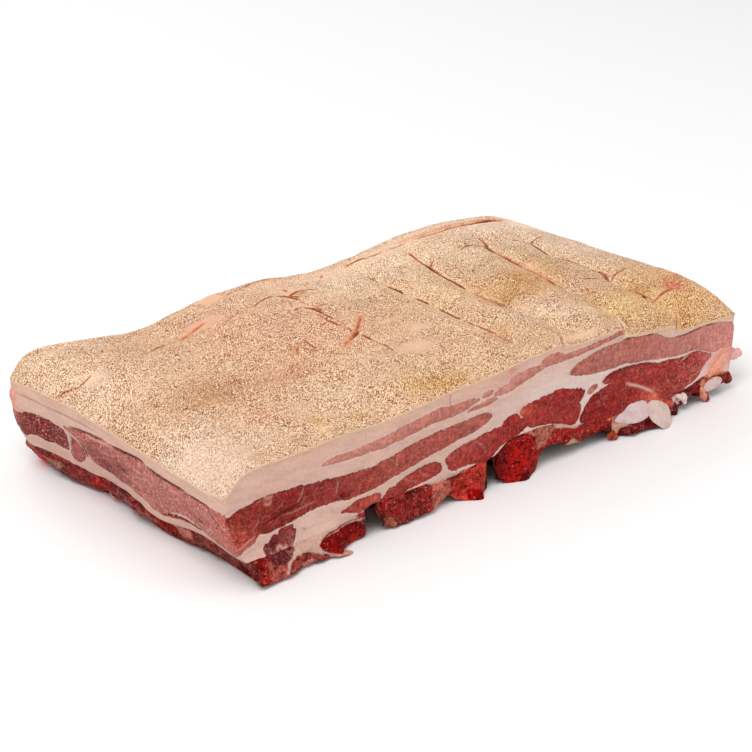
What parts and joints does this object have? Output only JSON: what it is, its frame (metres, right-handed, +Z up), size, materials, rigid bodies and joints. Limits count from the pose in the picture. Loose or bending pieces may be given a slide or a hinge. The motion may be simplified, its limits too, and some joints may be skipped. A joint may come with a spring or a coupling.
{
  "type": "pork belly slab",
  "caption": "Raw rectangular slab of pork belly with its rind on and rib ends in, lying bone side down, layers showing at every cut side.",
  "frame": {"origin": "centre of the slab's outline on the surface that it lies on", "axes": "+X along the slab towards its thinner end, +Y across it from the front cut face to the back one, +Z up through the rind"},
  "size_m": [0.4078, 0.2122, 0.0746],
  "materials": {
    "rind_and_fat": "tan speckled rind over pale pink-beige fat, satin",
    "pale_lean": "moist pink-brown lean with thin white seams",
    "dark_lean": "moist dark red lean in rounded bundles",
    "rib_meat": "wet ragged dark red meat and membrane",
    "bone": "wet red marrow at the cut, pale bone skin along the rib",
    "cartilage": "smooth pearly white cartilage"
  },
  "bodies": {
    "root": {"rind_and_fat": "rind_and_fat", "upper_lean": "pale_lean", "flank_lean": "pale_lean", "dark_lean": "dark_lean", "rib_meat_1": "rib_meat", "rib_meat_2": "rib_meat", "rib_meat_3": "rib_meat", "rib_1": "bone", "rib_2": "bone", "rib_3": "bone", "cartilage_1": "cartilage", "cartilage_2": "cartilage", "cartilage_3": "cartilage"}
  },
  "joints": []
}
